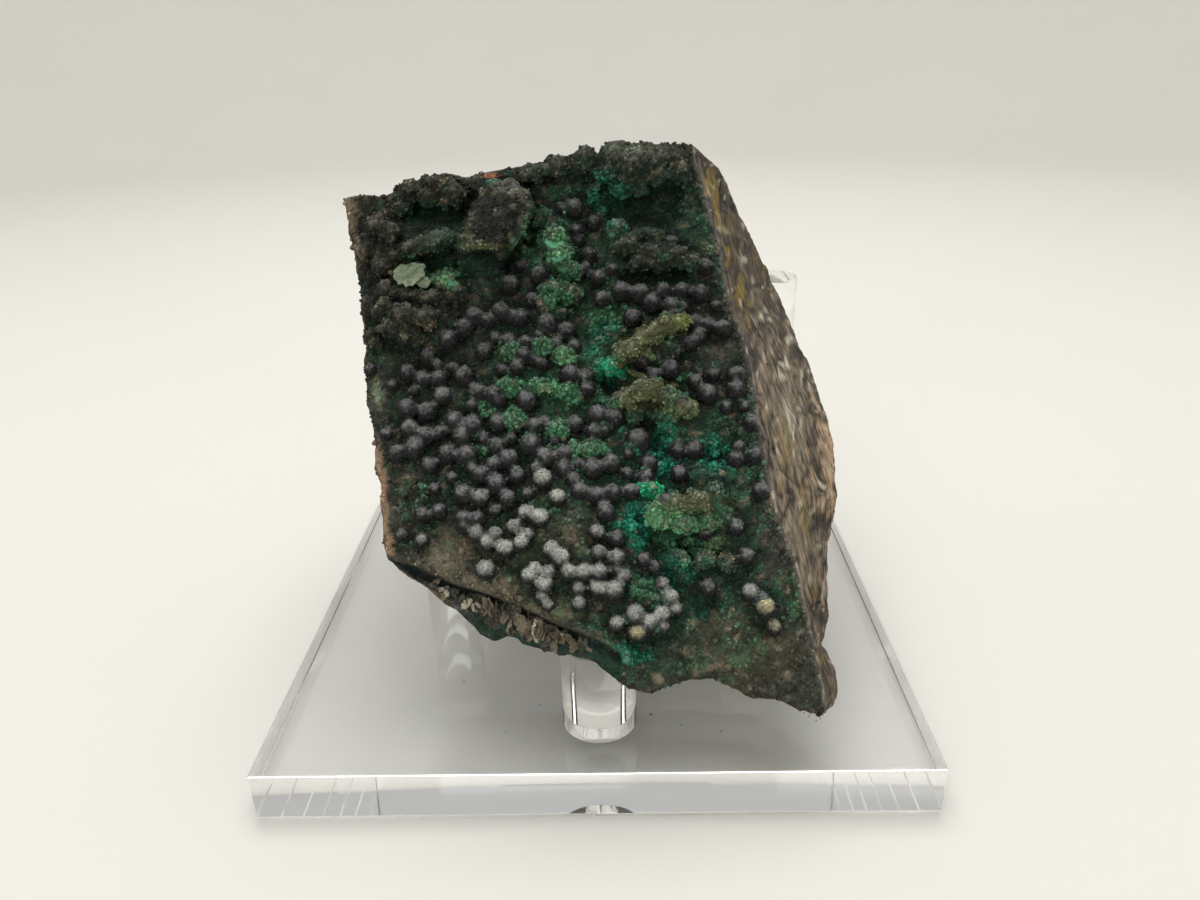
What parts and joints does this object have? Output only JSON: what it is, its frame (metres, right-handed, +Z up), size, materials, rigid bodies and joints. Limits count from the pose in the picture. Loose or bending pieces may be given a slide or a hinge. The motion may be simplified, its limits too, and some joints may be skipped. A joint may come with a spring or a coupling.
{
  "type": "mineral specimen on a display stand",
  "caption": "Broken block of rock with a dark knobbly crust and green copper minerals on its face, leaning on a clear square stand with three round pegs.",
  "frame": {"origin": "centre of the plate's underside", "axes": "+Z up, +X to the viewer's right, +Y away from the viewer, towards the two tall pegs"},
  "size_m": [0.1016, 0.1016, 0.0903],
  "materials": {
    "mineral": "rough mineral crust",
    "clear_stand": "clear and polished"
  },
  "bodies": {
    "root": {"specimen": "mineral", "base_plate": "clear_stand", "front_peg": "clear_stand", "back_peg_left": "clear_stand", "back_peg_right": "clear_stand"}
  },
  "joints": []
}
